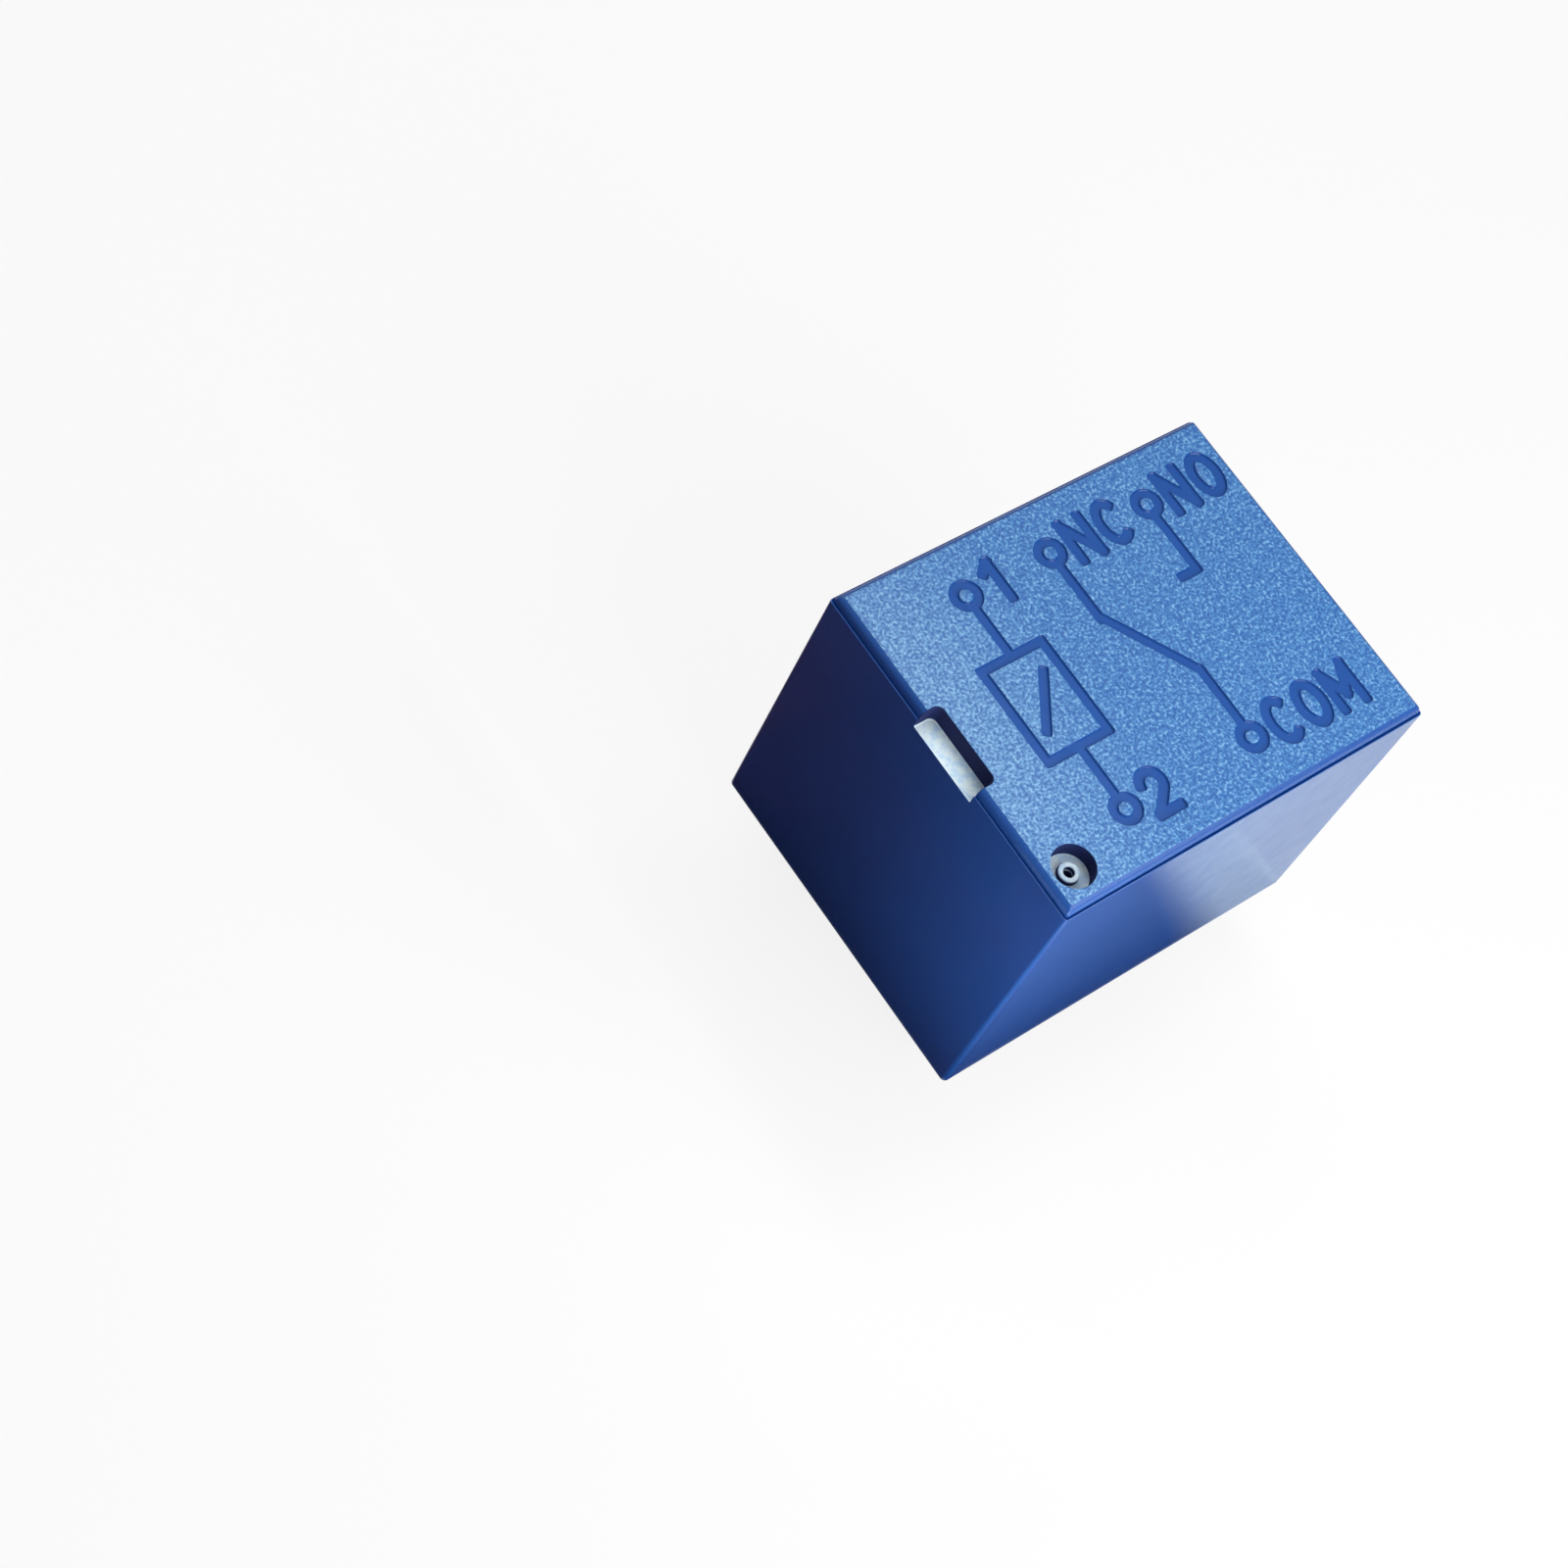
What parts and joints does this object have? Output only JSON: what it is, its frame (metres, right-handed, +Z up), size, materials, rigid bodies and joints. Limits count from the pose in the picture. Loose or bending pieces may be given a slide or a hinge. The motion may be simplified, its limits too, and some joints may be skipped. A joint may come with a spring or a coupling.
{
  "type": "pcb power relay",
  "caption": "Sealed box-shaped printed circuit board power relay with a changeover contact, a hinged armature over an upright coil, and pins below the rim.",
  "frame": {"origin": "middle of the case rim, which is the plane that seats on the board", "axes": "+X along the case towards the common pin, away from the notched end; +Y across the case; +Z up from the rim to the top panel, with the pins along -Z"},
  "size_m": [0.019, 0.0154, 0.0189],
  "materials": {
    "case_plastic": "satin moulded thermoplastic with a spark-eroded grain on the top panel",
    "epoxy": "black potting resin, glossy in the middle and dull towards the rim",
    "base_plastic": "moulded, matt",
    "bobbin_plastic": "natural moulded, matt",
    "copper_wire": "enamelled copper",
    "soft_iron": "plated, dull",
    "spring_bronze": "rolled, bright",
    "contact_silver": "bright silver alloy",
    "tinned_pin": "hot tinned, uneven sheen"
  },
  "bodies": {
    "housing": {"case": "case_plastic", "potting_seal": "epoxy", "base_plate": "base_plastic", "bobbin": "bobbin_plastic", "coil_winding": "copper_wire", "coil_lead_a": "copper_wire", "coil_lead_b": "copper_wire", "core": "soft_iron", "yoke": "soft_iron", "yoke_rivets": "soft_iron", "no_contact": "contact_silver", "nc_contact": "contact_silver", "no_terminal": "tinned_pin", "nc_terminal": "tinned_pin", "com_terminal": "tinned_pin", "coil_terminal_a": "tinned_pin", "coil_terminal_b": "tinned_pin"},
    "armature": {"armature": "soft_iron", "contact_spring": "spring_bronze", "armature_rivets": "soft_iron", "moving_contact": "contact_silver"}
  },
  "joints": [
    {"name": "armature_hinge", "type": "hinge", "parent": "housing", "child": "armature", "pos_m": [0.00651, 0, 0.01145], "axis": [0, -1, 0], "range_deg": [0, 2.2], "stiffness_Nm_per_rad": 0.002, "springref_deg": -28.65, "deforming": ["contact_spring"]}
  ]
}
